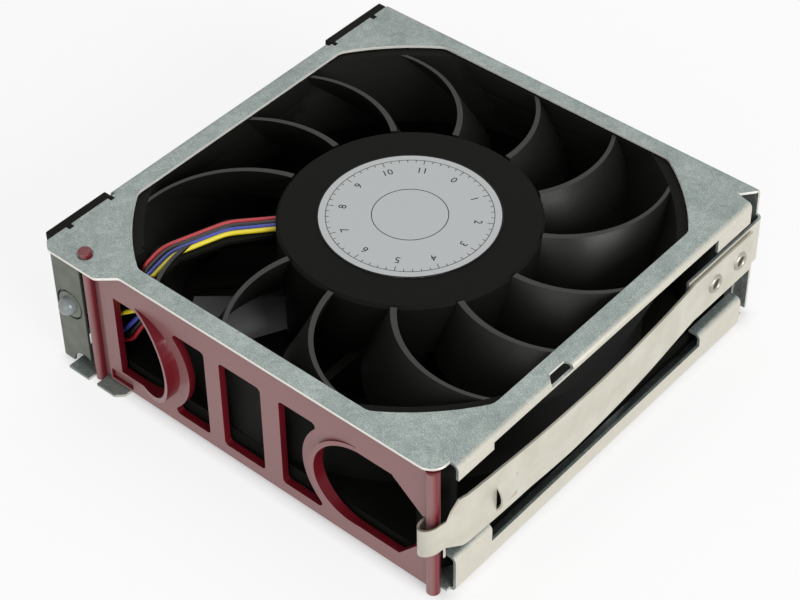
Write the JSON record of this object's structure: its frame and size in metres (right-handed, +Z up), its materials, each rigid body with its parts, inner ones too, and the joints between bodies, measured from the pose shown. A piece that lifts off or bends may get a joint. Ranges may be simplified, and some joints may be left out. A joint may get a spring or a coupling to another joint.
{
  "type": "server fan module",
  "caption": "Hot-swap server fan module: axial fan in a bent steel cage with a burgundy pull handle and a leaf latch.",
  "frame": {"origin": "the fan's axis at the underside of the cage", "axes": "+Z up towards the air outlet and the hub's label, -Y towards the handle, +X towards the latch"},
  "size_m": [0.1326, 0.137, 0.0431],
  "materials": {
    "galvanised_sheet": "fine spangled zinc, satin",
    "dull_sheet": "dull grey-green, satin",
    "rivet_steel": "satin",
    "spring_steel": "pale, softly polished",
    "bearing_steel": "ground",
    "lamination_steel": "stacked sheet",
    "copper_wire": "enamelled winding",
    "brass_tube": "turned",
    "magnet": "bonded magnet, matte",
    "circuit_board": "green solder mask",
    "white_nylon": "moulded",
    "black_plastic": "fine moulded texture, satin",
    "grey_plastic": "moulded",
    "burgundy_plastic": "moulded, satin",
    "black_rubber": "matte",
    "label_film": "smooth film",
    "lamp_lens": "diffuse lens",
    "red_insulation": "extruded",
    "black_insulation": "extruded",
    "blue_insulation": "extruded",
    "yellow_insulation": "extruded",
    "white_insulation": "extruded"
  },
  "bodies": {
    "cage": {"top_sheet": "galvanised_sheet", "base_sheet": "galvanised_sheet", "sheet_rivets": "rivet_steel", "front_guide_strip": "black_plastic", "rear_guide_strip": "black_plastic", "led_panel": "dull_sheet", "fan_pads": "black_rubber", "fan_frame": "black_plastic", "lower_flange": "black_plastic", "upper_flange": "black_plastic", "corner_tubes": "black_plastic", "guide_vanes": "black_plastic", "stator_hub": "black_plastic", "lead_trough": "black_plastic", "hub_label": "label_film", "bearing_tube": "brass_tube", "bearing_outer_rings": "bearing_steel", "stator_core": "lamination_steel", "stator_windings": "copper_wire", "stator_insulator": "white_nylon", "motor_board": "circuit_board", "indicator_led": "lamp_lens", "led_holder": "grey_plastic", "connector_housing": "black_plastic", "connector_contacts": "brass_tube", "red_lead": "red_insulation", "black_lead": "black_insulation", "blue_lead": "blue_insulation", "yellow_lead": "yellow_insulation", "lamp_lead_upper": "black_insulation", "lamp_lead_lower": "white_insulation"},
    "rotor": {"impeller": "black_plastic", "impeller_blades": "black_plastic", "rotor_yoke": "rivet_steel", "magnet_ring": "magnet", "shaft": "bearing_steel", "shaft_clip": "rivet_steel", "bearing_inner_rings": "bearing_steel"},
    "handle": {"handle": "burgundy_plastic"},
    "latch": {"latch_spring": "spring_steel", "spring_eyelets": "rivet_steel"}
  },
  "joints": [
    {"name": "rotor_spin", "type": "hinge", "parent": "cage", "child": "rotor", "pos_m": [0, 0, 0.02], "axis": [0, 0, 1], "continuous": true},
    {"name": "handle_pivot", "type": "hinge", "parent": "cage", "child": "handle", "pos_m": [-0.051, -0.0632, 0.02], "axis": [0, 0, -1], "range_deg": [0, 0.85]},
    {"name": "latch_flex", "type": "hinge", "parent": "cage", "child": "latch", "pos_m": [0.0635, 0.0475, 0.0266], "axis": [0, 0, -1], "range_deg": [0, 0.3]}
  ],
  "couplings": [
    {"joint": "latch_flex", "follows": "handle_pivot", "ratio": 0.35}
  ]
}
